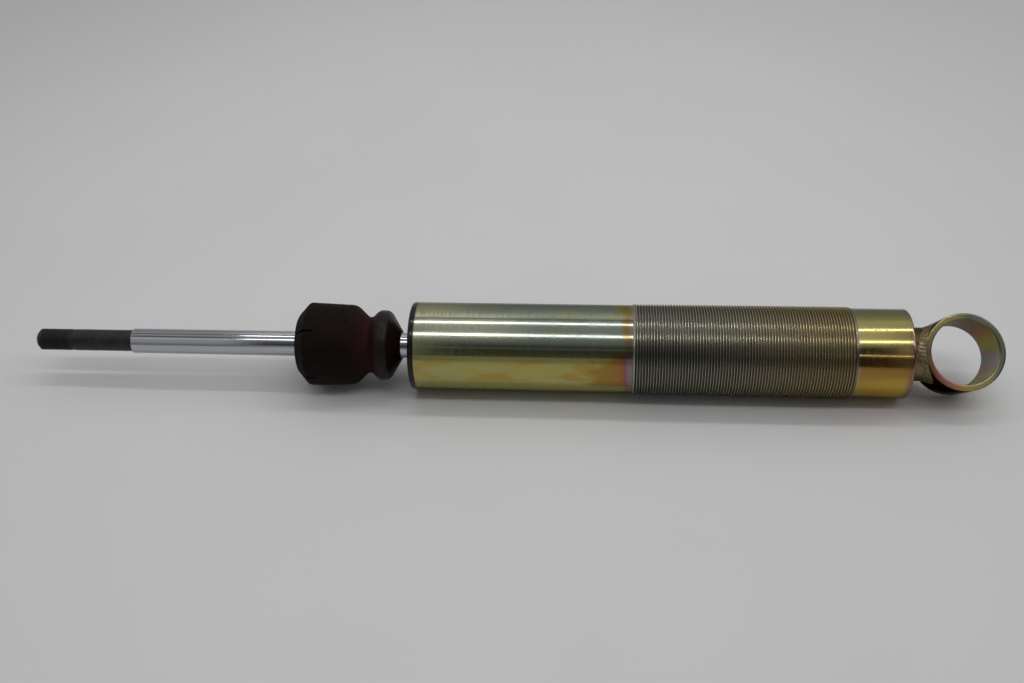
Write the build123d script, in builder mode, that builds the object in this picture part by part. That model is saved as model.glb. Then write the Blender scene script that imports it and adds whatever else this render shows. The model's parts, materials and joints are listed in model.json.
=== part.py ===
"""Monotube shock absorber: threaded body with a welded eye, piston rod with a stud, bump stop.

Frame: millimetres. X is the damper's axis. The origin is the centre of the eye's bore, the rod
points to -X and +Z is up, as the damper lies on a bench with its eye rolled about X.
"""
import os
from math import isclose

from build123d import *

# Eye, at the closed end
eye_bore_d = 35.0
eye_wall = 3.25
eye_width = 29.0
eye_edge = 0.6
eye_roll = 44.0
eye_to_body = 27.8
weld_leg = 1.5
weld_height = 3.6
weld_side = 0.3

# Body tube and its outside thread, M50 x 1.5 drawn at its crest
bore_d = 45.0
tube_wall = 1.8
body_length = 264.7
tube_end_round = 1.5
thread_crest_d = 50.0
thread_length = 117.4
thread_tail = 29.3
thread_chamfer = 0.6
thread_run_out = 1.9

# Closed end
base_thickness = 8.0
base_dish_d = 30.0
base_dish_depth = 1.5
base_chamfer = 1.0

# Black end cap and wiper
cap_thickness = 3.1
cap_round = 1.2
cap_spigot = 3.4
cap_spigot_wall = 3.0
cap_dish_depth = 0.8
cap_dish_wall = 5.0
wiper_d = 22.0
wiper_length = 5.0
wiper_lip = 1.2
wiper_lip_wall = 1.6

# Wire rings that hold the guide
wire_d = 2.0
wire_in_groove = 0.8

# Rod guide and its seals
guide_length = 24.0
guide_chamfer = 0.8
guide_relief_d = 33.0
guide_relief_depth = 4.0
bush_wall = 1.5
bush_length = 14.0
seal_d = 24.0
seal_length = 6.0
seal_lip_wall = 2.0
seal_lip_depth = 3.0
seal_washer_thickness = 1.5
guide_ring_section = 2.6
guide_ring_from_end = 9.0
ring_squeeze = 0.3

# Piston rod: chromed shaft, black stud at -X, spigot for the piston at +X
rod_d = 14.0
rod_exposed = 160.1
rod_chamfer = 0.5
stud_d = 12.0
stud_length = 55.5
stud_thread_length = 20.0
stud_undercut_width = 1.2
stud_undercut_depth = 0.45
stud_tip_chamfer = 1.8
hex_socket_af = 5.0
hex_socket_depth = 8.0
spigot_d = 10.0
spigot_past_nut = 1.5
spigot_chamfer = 0.8

# Rebound stop on the rod
bumper_d = 24.0
bumper_length = 8.0
bumper_round = 1.5
collar_d = 26.0
collar_length = 4.0
collar_chamfer = 0.6

# Piston and its valve discs
washer_d = 19.0
washer_thickness = 3.0
disc_thickness = 0.4
disc_film = 0.02
compression_disc_diameters = [37.0, 33.0, 28.0, 23.0]
rebound_disc_diameters = [35.0, 35.0, 31.0, 26.0, 21.0]
piston_length = 14.0
piston_d = 44.2
piston_seat_height = 1.0
piston_hub_d = 19.0
piston_seat_d = 39.0
piston_seat_wall = 2.4
port_d = 5.0
port_circle_d = 28.0
port_count = 12
band_width = 8.0
band_wall = 1.3
nut_af = 17.0
nut_height = 8.0
nut_chamfer = 1.0

# Floating piston between the oil and the gas
float_length = 18.0
float_crown = 5.0
float_wall = 5.0
float_d = 44.2
gas_length = 30.0
float_band_width = 4.0
float_band_from_end = 2.5
float_ring_section = 3.5
float_ring_from_end = 5.0
float_chamfer = 0.8

# Bump stop of foamed rubber, pushed on the rod
stop_gap = 6.4
stop_length = 57.0
stop_big_d = 46.5
stop_shoulder_d = 44.4
stop_small_d = 39.0
stop_valley_d = 29.0
stop_tip_d = 16.6
stop_base_d = 33.4
stop_small_start = 6.7
stop_small_end = 12.2
stop_valley_at = 17.4
stop_shoulder_at = 25.6
stop_base_chamfer = 6.0
stop_small_round = 4.0
stop_valley_round = 3.0
stop_shoulder_round = 7.0
stop_base_round = 2.0
vent_count = 5
vent_start = -17.0
vent_width = 0.8
vent_depth = 1.6
vent_length = 11.0

# Fits: radial clearances, and the play left at end faces
slide_fit = 0.05
press_fit = 0.02
stop_fit = 0.10
end_play = 0.10
rest_gap = 0.30

# Radii and places along X that follow from the sizes
bore_r = bore_d / 2
tube_r = bore_r + tube_wall
rod_r = rod_d / 2
eye_r = eye_bore_d / 2 + eye_wall
body_end_x = -eye_to_body
tube_top_x = body_end_x - body_length
cap_face_x = tube_top_x - cap_thickness
shoulder_x = cap_face_x - rod_exposed
stud_tip_x = shoulder_x - stud_length
outer_ring_x = tube_top_x + cap_spigot + end_play + wire_d / 2
guide_top_x = outer_ring_x + wire_d / 2 + end_play
guide_end_x = guide_top_x + guide_length
inner_ring_x = guide_end_x + end_play + wire_d / 2
bumper_x = guide_end_x + rest_gap
collar_x = bumper_x + bumper_length
spigot_x = collar_x + collar_length
disc_pitch = disc_thickness + disc_film
upper_discs_x = spigot_x + washer_thickness
piston_x = upper_discs_x + disc_pitch * len(compression_disc_diameters)
piston_end_x = piston_x + piston_length
lower_washer_x = piston_end_x + disc_pitch * len(rebound_disc_diameters)
nut_x = lower_washer_x + washer_thickness
spigot_end_x = nut_x + nut_height + spigot_past_nut
base_face_x = body_end_x - base_thickness
float_end_x = base_face_x - gas_length
float_x = float_end_x - float_length
stop_tip_x = cap_face_x - stop_gap
spigot_bore_r = spigot_d / 2 + press_fit
plug_r = bore_r - slide_fit

eye_plane = Plane((0, 0, 0), x_dir=(1, 0, 0), z_dir=Vector(0, -1, 0).rotate(Axis.X, -eye_roll))


def band(x_from, x_to, r_from, r_to, mode=Mode.ADD):
    """One rectangle of a half section, between two places along X and two radii."""
    with Locations((x_from, r_from)):
        Rectangle(x_to - x_from, r_to - r_from, align=(Align.MIN, Align.MIN), mode=mode)


def circle_edges(part, x, radius):
    """The turned edges of a part at one place along X with one radius."""
    edges = part.edges().filter_by(GeomType.CIRCLE)
    return edges.filter_by(lambda e: isclose(e.arc_center.X, x) and isclose(e.radius, radius))


# Body tube: a plain tube with the thread's crest cylinder and two grooves for the wire rings
crest_r = thread_crest_d / 2
thread_end_x = body_end_x - thread_tail
thread_start_x = thread_end_x - thread_length
run_out_x = thread_end_x - thread_run_out
with BuildPart() as body_tube:
    with BuildSketch(Plane.XY):
        band(tube_top_x, body_end_x, bore_r, tube_r)
        band(thread_start_x, run_out_x, bore_r, crest_r)
        Polygon(
            (run_out_x, bore_r),
            (run_out_x, crest_r),
            (thread_end_x, tube_r),
            (thread_end_x, bore_r),
            align=None,
        )
        for ring_x in (outer_ring_x, inner_ring_x):
            with Locations((ring_x, bore_r + wire_in_groove - wire_d / 2)):
                Circle(wire_d / 2 + press_fit, mode=Mode.SUBTRACT)
    revolve(axis=Axis.X)
    chamfer(circle_edges(body_tube, thread_start_x, crest_r), thread_chamfer)
    fillet(circle_edges(body_tube, body_end_x, tube_r), tube_end_round)

# Base cap: the disc that closes the tube, turned in one piece with a neck as wide as the eye
neck_r = eye_width / 2
with BuildPart() as base_cap:
    with BuildSketch(Plane.XY):
        band(base_face_x, body_end_x, 0, plug_r)
        band(body_end_x, 0, 0, neck_r)
        band(base_face_x, base_face_x + base_dish_depth, 0, base_dish_d / 2, mode=Mode.SUBTRACT)
    revolve(axis=Axis.X)
    chamfer(circle_edges(base_cap, base_face_x, plug_r), base_chamfer)
    with BuildSketch(eye_plane.offset(-eye_width)):
        Circle(eye_r)
    extrude(amount=2 * eye_width, mode=Mode.SUBTRACT)

# Eye ring: a short open tube, its axis square to the damper's
with BuildPart() as eye_ring:
    with BuildSketch(eye_plane.offset(-eye_width / 2)):
        Circle(eye_r)
        Circle(eye_bore_d / 2, mode=Mode.SUBTRACT)
    extrude(amount=eye_width)
    chamfer(eye_ring.edges().filter_by(GeomType.CIRCLE), eye_edge)

# Eye weld: a bead that follows the saddle line between the neck and the ring, nearly flush at the sides
weld_width = eye_width + 2 * weld_side
with BuildPart() as eye_weld:
    with BuildSketch(Plane.XY):
        band(body_end_x, 0, neck_r, neck_r + weld_leg)
    revolve(axis=Axis.X)
    with BuildSketch(eye_plane.offset(-weld_width / 2)):
        Circle(eye_r + weld_height)
    extrude(amount=weld_width, mode=Mode.INTERSECT)
    with BuildSketch(eye_plane.offset(-eye_width)):
        Circle(eye_r)
    extrude(amount=2 * eye_width, mode=Mode.SUBTRACT)

# End cap: a dished steel cap whose spigot sits in the tube
wiper_r = wiper_d / 2
with BuildPart() as end_cap:
    with BuildSketch(Plane.XY):
        band(cap_face_x, tube_top_x, wiper_r + press_fit, tube_r)
        band(tube_top_x, tube_top_x + cap_spigot, plug_r - cap_spigot_wall, plug_r)
        band(cap_face_x, cap_face_x + cap_dish_depth, wiper_r, tube_r - cap_dish_wall, mode=Mode.SUBTRACT)
    revolve(axis=Axis.X)
    fillet(circle_edges(end_cap, cap_face_x, tube_r), cap_round)

# Wiper seal: a rubber ring in the end cap, with a lip that points out along the rod
wiper_x = cap_face_x + cap_dish_depth
with BuildPart() as wiper_seal:
    with BuildSketch(Plane.XY):
        with BuildLine():
            Polyline(
                (wiper_x, wiper_r),
                (wiper_x, rod_r + 2 * wiper_lip_wall),
                (wiper_x - wiper_lip, rod_r + wiper_lip_wall),
                (wiper_x - wiper_lip, rod_r + slide_fit),
                (wiper_x + wiper_length, rod_r + slide_fit),
                (wiper_x + wiper_length, wiper_r),
                close=True,
            )
        make_face()
    revolve(axis=Axis.X)

# Retaining rings: two round wires that sit half in the tube's grooves
wire_centre_r = bore_r + wire_in_groove - wire_d / 2
with BuildPart() as outer_retaining_ring:
    with BuildSketch(Plane.XY):
        with Locations((outer_ring_x, wire_centre_r)):
            Circle(wire_d / 2)
    revolve(axis=Axis.X)

with BuildPart() as inner_retaining_ring:
    with BuildSketch(Plane.XY):
        with Locations((inner_ring_x, wire_centre_r)):
            Circle(wire_d / 2)
    revolve(axis=Axis.X)

# Rod guide: pocket for the seal outside, bore for the bush inside, groove for the ring
seal_r = seal_d / 2
bush_r = rod_r + slide_fit + bush_wall
seal_pocket_x = guide_top_x + seal_washer_thickness + seal_length
bush_x = guide_end_x - bush_length
guide_ring_x = guide_top_x + guide_ring_from_end
guide_ring_inner_r = plug_r - guide_ring_section + ring_squeeze
with BuildPart() as rod_guide:
    with BuildSketch(Plane.XY):
        band(guide_top_x, guide_end_x, rod_r + 2 * slide_fit, plug_r)
        band(guide_top_x, seal_pocket_x, 0, seal_r, mode=Mode.SUBTRACT)
        band(bush_x, guide_end_x, 0, bush_r, mode=Mode.SUBTRACT)
        band(
            guide_ring_x - guide_ring_section / 2 - end_play,
            guide_ring_x + guide_ring_section / 2 + end_play,
            guide_ring_inner_r,
            bore_r,
            mode=Mode.SUBTRACT,
        )
        band(
            guide_end_x - guide_relief_depth,
            guide_end_x,
            guide_relief_d / 2,
            plug_r - tube_wall,
            mode=Mode.SUBTRACT,
        )
    revolve(axis=Axis.X)
    chamfer(circle_edges(rod_guide, guide_top_x, plug_r), guide_chamfer)

# Guide ring: the O-ring that seals the guide in the tube, pressed a little flat
with BuildPart() as guide_o_ring:
    with BuildSketch(Plane.XY):
        with Locations((guide_ring_x, (guide_ring_inner_r + plug_r) / 2)):
            Ellipse(guide_ring_section / 2, (plug_r - guide_ring_inner_r) / 2)
    revolve(axis=Axis.X)

# Guide bush: a lined sleeve that the rod runs in
with BuildPart() as guide_bush:
    with BuildSketch(Plane.XY):
        band(bush_x, guide_end_x, rod_r + slide_fit, bush_r)
    revolve(axis=Axis.X)

# Rod seal: a lip seal, open towards the oil
with BuildPart() as rod_seal:
    with BuildSketch(Plane.XY):
        band(seal_pocket_x - seal_length, seal_pocket_x, rod_r + slide_fit, seal_r - press_fit)
        band(
            seal_pocket_x - seal_lip_depth,
            seal_pocket_x,
            rod_r + seal_lip_wall,
            seal_r - seal_lip_wall,
            mode=Mode.SUBTRACT,
        )
    revolve(axis=Axis.X)

# Seal washer: a steel washer that closes the seal's pocket
with BuildPart() as seal_washer:
    with BuildSketch(Plane.XY):
        band(guide_top_x, guide_top_x + seal_washer_thickness, rod_r + rest_gap, seal_r - press_fit)
    revolve(axis=Axis.X)

# Piston rod: stud with its undercut, shaft, and the spigot that carries the piston
stud_r = stud_d / 2
undercut_x = stud_tip_x + stud_thread_length
with BuildPart() as piston_rod:
    with BuildSketch(Plane.XY):
        band(stud_tip_x, shoulder_x, 0, stud_r)
        band(shoulder_x, spigot_x, 0, rod_r)
        band(spigot_x, spigot_end_x, 0, spigot_d / 2)
        band(
            undercut_x,
            undercut_x + stud_undercut_width,
            stud_r - stud_undercut_depth,
            stud_r,
            mode=Mode.SUBTRACT,
        )
    revolve(axis=Axis.X)
    chamfer(circle_edges(piston_rod, shoulder_x, rod_r), rod_chamfer)
    chamfer(circle_edges(piston_rod, stud_tip_x, stud_r), stud_tip_chamfer)
    chamfer(circle_edges(piston_rod, spigot_end_x, spigot_d / 2), spigot_chamfer)
    with BuildSketch(Plane.YZ.offset(stud_tip_x)):
        RegularPolygon(hex_socket_af / 2, 6, major_radius=False)
    extrude(amount=hex_socket_depth, mode=Mode.SUBTRACT)

# Top-out bumper and the collar behind it, both on the rod's shaft
with BuildPart() as top_out_bumper:
    with BuildSketch(Plane.XY):
        band(bumper_x, collar_x, rod_r + slide_fit, bumper_d / 2)
    revolve(axis=Axis.X)
    fillet(circle_edges(top_out_bumper, bumper_x, bumper_d / 2), bumper_round)

with BuildPart() as rebound_collar:
    with BuildSketch(Plane.XY):
        band(collar_x, spigot_x, rod_r + press_fit, collar_d / 2)
    revolve(axis=Axis.X)
    chamfer(circle_edges(rebound_collar, spigot_x, collar_d / 2), collar_chamfer)

# Support washers: the two thick washers that clamp the valve discs
with BuildPart() as upper_support_washer:
    with BuildSketch(Plane.XY):
        band(spigot_x, upper_discs_x, spigot_bore_r, washer_d / 2)
    revolve(axis=Axis.X)

with BuildPart() as lower_support_washer:
    with BuildSketch(Plane.XY):
        band(lower_washer_x, nut_x, spigot_bore_r, washer_d / 2)
    revolve(axis=Axis.X)

# Valve discs: thin steel discs in a stepped pile, the widest on the piston's seat
with BuildPart() as compression_shims:
    for place, disc_d in enumerate(reversed(compression_disc_diameters)):
        with BuildSketch(Plane.YZ.offset(upper_discs_x + place * disc_pitch)):
            Circle(disc_d / 2)
            Circle(spigot_bore_r, mode=Mode.SUBTRACT)
        extrude(amount=disc_thickness)

with BuildPart() as rebound_shims:
    for place, disc_d in enumerate(rebound_disc_diameters):
        with BuildSketch(Plane.YZ.offset(piston_end_x + disc_film + place * disc_pitch)):
            Circle(disc_d / 2)
            Circle(spigot_bore_r, mode=Mode.SUBTRACT)
        extrude(amount=disc_thickness)

# Piston: two raised seats, a ring of ports and a groove for its band
seat_r = piston_seat_d / 2
band_groove_x = piston_x + (piston_length - band_width) / 2
piston_groove_r = bore_r - slide_fit - band_wall
with BuildPart() as piston:
    with BuildSketch(Plane.XY):
        band(piston_x + piston_seat_height, piston_end_x - piston_seat_height, spigot_bore_r, piston_d / 2)
        band(piston_x, piston_end_x, spigot_bore_r, piston_hub_d / 2)
        band(piston_x, piston_end_x, seat_r - piston_seat_wall, seat_r)
        band(
            band_groove_x - end_play,
            band_groove_x + band_width + end_play,
            piston_groove_r - slide_fit,
            piston_d / 2,
            mode=Mode.SUBTRACT,
        )
    revolve(axis=Axis.X)
    with BuildSketch(Plane.YZ.offset(piston_x)):
        with PolarLocations(port_circle_d / 2, port_count):
            Circle(port_d / 2)
    extrude(amount=piston_length, mode=Mode.SUBTRACT)

# Piston band: the low-friction strip that slides in the tube
with BuildPart() as piston_band:
    with BuildSketch(Plane.XY):
        band(band_groove_x, band_groove_x + band_width, piston_groove_r, bore_r - slide_fit)
    revolve(axis=Axis.X)

# Piston nut: a hexagon with its corners turned off
with BuildPart() as piston_nut:
    with BuildSketch(Plane.YZ.offset(nut_x)):
        RegularPolygon(nut_af / 2, 6, major_radius=False)
        Circle(spigot_bore_r, mode=Mode.SUBTRACT)
    extrude(amount=nut_height)
    with BuildSketch(Plane.XY):
        with BuildLine():
            Polyline(
                (nut_x, 0),
                (nut_x, nut_af / 2 + nut_chamfer),
                (nut_x + nut_height - nut_chamfer, nut_af / 2 + nut_chamfer),
                (nut_x + nut_height, nut_af / 2),
                (nut_x + nut_height, 0),
                close=True,
            )
        make_face()
    revolve(axis=Axis.X, mode=Mode.INTERSECT)

# Floating piston: a cup open to the gas, with a band and a ring outside
float_band_x = float_x + float_band_from_end
float_ring_x = float_end_x - float_ring_from_end
float_band_r = bore_r - slide_fit - band_wall
float_ring_inner_r = bore_r - slide_fit - float_ring_section + ring_squeeze
with BuildPart() as floating_piston:
    with BuildSketch(Plane.XY):
        band(float_x, float_end_x, 0, float_d / 2)
        band(float_x + float_crown, float_end_x, 0, float_d / 2 - float_wall, mode=Mode.SUBTRACT)
        band(
            float_band_x - end_play,
            float_band_x + float_band_width + end_play,
            float_band_r - slide_fit,
            float_d / 2,
            mode=Mode.SUBTRACT,
        )
        band(
            float_ring_x - float_ring_section / 2 - end_play,
            float_ring_x + float_ring_section / 2 + end_play,
            float_ring_inner_r,
            float_d / 2,
            mode=Mode.SUBTRACT,
        )
    revolve(axis=Axis.X)
    chamfer(circle_edges(floating_piston, float_x, float_d / 2), float_chamfer)
    chamfer(circle_edges(floating_piston, float_end_x, float_d / 2), float_chamfer)

with BuildPart() as floating_piston_band:
    with BuildSketch(Plane.XY):
        band(float_band_x, float_band_x + float_band_width, float_band_r, bore_r - slide_fit)
    revolve(axis=Axis.X)

with BuildPart() as floating_piston_o_ring:
    with BuildSketch(Plane.XY):
        with Locations((float_ring_x, (float_ring_inner_r + bore_r - slide_fit) / 2)):
            Ellipse(float_ring_section / 2, (bore_r - slide_fit - float_ring_inner_r) / 2)
    revolve(axis=Axis.X)

# Bump stop: a small bulge, a folding valley and the main body, with vents across its base
stop_base_x = stop_tip_x - stop_length
stop_corners = {
    "tip": (stop_tip_x, stop_tip_d / 2),
    "small_start": (stop_tip_x - stop_small_start, stop_small_d / 2),
    "small_end": (stop_tip_x - stop_small_end, stop_small_d / 2),
    "valley": (stop_tip_x - stop_valley_at, stop_valley_d / 2),
    "shoulder": (stop_tip_x - stop_shoulder_at, stop_shoulder_d / 2),
    "rim": (stop_base_x + stop_base_chamfer, stop_big_d / 2),
    "base": (stop_base_x, stop_base_d / 2),
}
stop_rounds = {
    "small_start": stop_small_round,
    "small_end": stop_small_round,
    "valley": stop_valley_round,
    "shoulder": stop_shoulder_round,
    "rim": stop_base_round,
    "base": stop_base_round,
}
with BuildPart() as bump_stop:
    with BuildSketch(Plane.XY) as stop_profile:
        with BuildLine():
            Polyline(
                (stop_tip_x, rod_r + stop_fit),
                *stop_corners.values(),
                (stop_base_x, rod_r + stop_fit),
                close=True,
            )
        make_face()
        for corner, radius in stop_rounds.items():
            fillet(stop_profile.vertices().sort_by_distance(stop_corners[corner])[0], radius)
    revolve(axis=Axis.X)
    with BuildSketch(Plane.YZ.offset(stop_base_x)):
        with PolarLocations(stop_big_d / 2, vent_count, start_angle=180 - vent_start):
            Rectangle(2 * vent_depth, vent_width)
    extrude(amount=vent_length, mode=Mode.SUBTRACT)

os.makedirs("parts", exist_ok=True)
pieces = {
    "body_tube": body_tube,
    "base_cap": base_cap,
    "eye_ring": eye_ring,
    "eye_weld": eye_weld,
    "end_cap": end_cap,
    "wiper_seal": wiper_seal,
    "outer_retaining_ring": outer_retaining_ring,
    "inner_retaining_ring": inner_retaining_ring,
    "rod_guide": rod_guide,
    "guide_o_ring": guide_o_ring,
    "guide_bush": guide_bush,
    "rod_seal": rod_seal,
    "seal_washer": seal_washer,
    "piston_rod": piston_rod,
    "top_out_bumper": top_out_bumper,
    "rebound_collar": rebound_collar,
    "upper_support_washer": upper_support_washer,
    "compression_shims": compression_shims,
    "piston": piston,
    "piston_band": piston_band,
    "rebound_shims": rebound_shims,
    "lower_support_washer": lower_support_washer,
    "piston_nut": piston_nut,
    "floating_piston": floating_piston,
    "floating_piston_band": floating_piston_band,
    "floating_piston_o_ring": floating_piston_o_ring,
    "bump_stop": bump_stop,
}
for name, piece in pieces.items():
    piece.part.label = name
    export_step(piece.part, f"parts/{name}.step")
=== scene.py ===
"""Looks of the shock absorber: meshes, materials, floor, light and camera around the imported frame.

Lengths here are in metres; MM turns millimetres into them. X is the damper's axis, the rod points
to -X and the eye's bore is at the origin.
"""

import json
import math

import bmesh
import bpy
import numpy as np
from mathutils import Euler, Matrix, Vector, noise


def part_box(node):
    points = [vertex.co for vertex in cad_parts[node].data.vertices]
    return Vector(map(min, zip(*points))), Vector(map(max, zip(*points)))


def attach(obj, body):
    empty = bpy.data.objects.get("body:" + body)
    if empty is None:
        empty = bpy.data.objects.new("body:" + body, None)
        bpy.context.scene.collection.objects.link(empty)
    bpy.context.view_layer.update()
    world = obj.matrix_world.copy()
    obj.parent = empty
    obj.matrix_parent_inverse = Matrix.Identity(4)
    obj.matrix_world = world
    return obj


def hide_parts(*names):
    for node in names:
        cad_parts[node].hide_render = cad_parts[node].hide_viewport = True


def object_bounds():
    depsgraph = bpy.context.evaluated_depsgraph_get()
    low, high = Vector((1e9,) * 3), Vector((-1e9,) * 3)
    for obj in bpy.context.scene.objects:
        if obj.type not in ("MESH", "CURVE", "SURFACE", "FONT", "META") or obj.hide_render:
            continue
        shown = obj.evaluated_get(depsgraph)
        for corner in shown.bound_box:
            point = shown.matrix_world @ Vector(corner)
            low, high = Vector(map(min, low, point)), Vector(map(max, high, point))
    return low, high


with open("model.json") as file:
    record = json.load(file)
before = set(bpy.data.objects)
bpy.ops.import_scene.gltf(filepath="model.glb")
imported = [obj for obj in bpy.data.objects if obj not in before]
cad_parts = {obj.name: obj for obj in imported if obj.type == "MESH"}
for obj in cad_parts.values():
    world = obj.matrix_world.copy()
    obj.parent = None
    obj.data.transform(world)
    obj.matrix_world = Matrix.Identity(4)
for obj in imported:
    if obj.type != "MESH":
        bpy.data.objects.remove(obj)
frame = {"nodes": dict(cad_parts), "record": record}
cad_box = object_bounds()

MM = 0.001
SEGMENTS = 144
SHARP_ANGLE = math.radians(32)
MERGE_DISTANCE = 0.002 * MM

# Places and sizes read off the frame
tube_low, tube_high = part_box("body_tube")
rod_low, rod_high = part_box("piston_rod")
cap_low, cap_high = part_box("end_cap")
stop_low, stop_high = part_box("bump_stop")
_, seal_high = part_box("wiper_seal")
floor_z = min(corner[2] for corner in cad_box)
tube_x0, tube_x1 = tube_low.x, tube_high.x
crest_r = tube_high.y
tube_r = cap_high.y
rod_r = rod_high.y

# Body tube
BORE_R = 22.5 * MM
THREAD_TAIL = 29.3 * MM
THREAD_LENGTH = 117.4 * MM
THREAD_RUN_OUT = 1.9 * MM
THREAD_PITCH = 1.5 * MM
THREAD_DEPTH = 0.92 * MM
END_ROUND = 1.5 * MM
TUBE_EDGE = 0.25 * MM
thread_x1 = tube_x1 - THREAD_TAIL
thread_x0 = thread_x1 - THREAD_LENGTH

# Eye
EYE_ROLL = math.radians(44)
EYE_R = 20.75 * MM
EYE_BORE_R = 17.5 * MM
EYE_WIDTH = 29.0 * MM
EYE_EDGE = 0.7 * MM
NECK_R = 14.5 * MM
eye_axis = Vector((0, -math.cos(EYE_ROLL), math.sin(EYE_ROLL)))
eye_up = eye_axis.cross(Vector((1, 0, 0)))

# Rod and stud
STUD_R = 6.0 * MM
STUD_LENGTH = 55.5 * MM
STUD_THREAD = 20.0 * MM
STUD_PITCH = 1.25 * MM
STUD_THREAD_DEPTH = 0.70 * MM
STUD_TIP = 1.8 * MM
UNDERCUT_WIDTH = 1.2 * MM
UNDERCUT_DEPTH = 0.45 * MM
SHOULDER_CHAMFER = 0.5 * MM
SOCKET_AF = 5.0 * MM
SOCKET_DEPTH = 8.0 * MM
SOCKET_LIP_R = 3.4 * MM
SPIGOT_R = 5.0 * MM
SPIGOT_LENGTH = 33.3 * MM
SPIGOT_CHAMFER = 0.8 * MM
stud_x0 = rod_low.x
shoulder_x = stud_x0 + STUD_LENGTH


def arc_corner(before, corner, after, radius, steps):
    """Points of the arc that rounds one corner of an outline."""
    to_before = (before - corner).normalized()
    to_after = (after - corner).normalized()
    half = to_before.angle(to_after) / 2
    reach = radius / math.tan(half)
    centre = corner + (to_before + to_after).normalized() * radius / math.sin(half)
    start = corner + to_before * reach - centre
    turn = start.angle_signed(corner + to_after * reach - centre)
    points = []
    for step in range(steps + 1):
        angle = -turn * step / steps
        c, s = math.cos(angle), math.sin(angle)
        points.append(centre + Vector((start.x * c - start.y * s, start.x * s + start.y * c)))
    return points


def rounded(corners, steps=5):
    """An open outline from corners (x, r) or (x, r, round); only inner corners are rounded."""
    points = [Vector(corners[0][:2])]
    for before, corner, after in zip(corners, corners[1:], corners[2:]):
        if len(corner) == 3:
            flat = (Vector(point[:2]) for point in (before, corner, after))
            points += arc_corner(*flat, corner[2], steps)
        else:
            points.append(Vector(corner))
    points.append(Vector(corners[-1][:2]))
    return [(p.x, p.y) for p in points]


def ring_rows(outline, segments=SEGMENTS):
    """One row of (x, r) pairs for each point of an outline, the same all the way round."""
    return [np.tile(np.array(point, float), (segments + 1, 1)) for point in outline]


# One turn's section: share of the pitch, height over the root as a share of the depth
THREAD_PROFILE = ((0.0, 1.0), (0.125, 1.0), (0.42, 0.06), (0.46, 0.0), (0.66, 0.0), (0.70, 0.06))


def thread_rows(x_from, x_to, crest, depth, pitch, r_from, r_to, run_out=None, segments=SEGMENTS):
    """Rows that follow a right-hand helix, cut off by a cone at both ends."""
    around = np.arange(segments + 1) / segments
    turns = math.ceil((x_to - x_from) / pitch)
    out_slope = (crest - r_to) / run_out if run_out else 1.0
    rows = []
    for turn in range(-1, turns + 1):
        for phase, height in THREAD_PROFILE:
            x = np.clip(x_from + pitch * (turn + phase + around), x_from, x_to)
            fade = np.clip((x - x_from) / pitch - 0.3, 0, 1) * np.clip((x_to - x) / pitch - 0.1, 0, 1)
            r = crest - depth * (1 - height) * fade
            r = np.minimum(r, np.minimum(r_from + (x - x_from), r_to + (x_to - x) * out_slope))
            rows.append(np.column_stack((x, r)))
    return rows


def hexagon_rows(x, across_flats, segments=SEGMENTS):
    """One row whose points lie on a hexagon."""
    angle = np.arange(segments + 1) / segments * 2 * math.pi
    sixth = math.pi / 3
    off = (angle + sixth / 2) % sixth - sixth / 2
    return [np.column_stack((np.full(segments + 1, x), across_flats / 2 / np.cos(off)))]


def skin_rows(rows, angles=None):
    """Vertices and faces of a surface through rows of (x, r) pairs round the X axis."""
    stack = np.array(rows)
    count, columns = stack.shape[:2]
    if angles is None:
        angles = np.arange(columns) / (columns - 1) * 2 * math.pi
    x, r = stack[:, :, 0], stack[:, :, 1]
    points = np.stack((x, r * np.cos(angles), r * np.sin(angles)), axis=2).reshape(-1, 3)
    first = (np.arange(count - 1)[:, None] * columns + np.arange(columns - 1)[None, :]).ravel()
    faces = np.column_stack((first, first + columns, first + columns + 1, first + 1))
    return points, faces


def new_piece(name, points, faces, body, slot, *nodes):
    """A closed smooth mesh that rides on a body and stands for the CAD nodes named."""
    mesh = bpy.data.meshes.new(name)
    mesh.from_pydata([tuple(p) for p in points], [], [tuple(f) for f in faces])
    work = bmesh.new()
    work.from_mesh(mesh)
    bmesh.ops.remove_doubles(work, verts=work.verts, dist=MERGE_DISTANCE)
    bmesh.ops.dissolve_degenerate(work, dist=MERGE_DISTANCE, edges=work.edges)
    bmesh.ops.recalc_face_normals(work, faces=work.faces)
    work.to_mesh(mesh)
    work.free()
    piece = bpy.data.objects.new(name, mesh)
    bpy.context.scene.collection.objects.link(piece)
    mesh.shade_smooth()
    mesh.set_sharp_from_angle(angle=SHARP_ANGLE)
    mesh.materials.append(MATERIALS[slot])
    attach(piece, body)
    if nodes:
        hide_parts(*nodes)
    return piece


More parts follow.
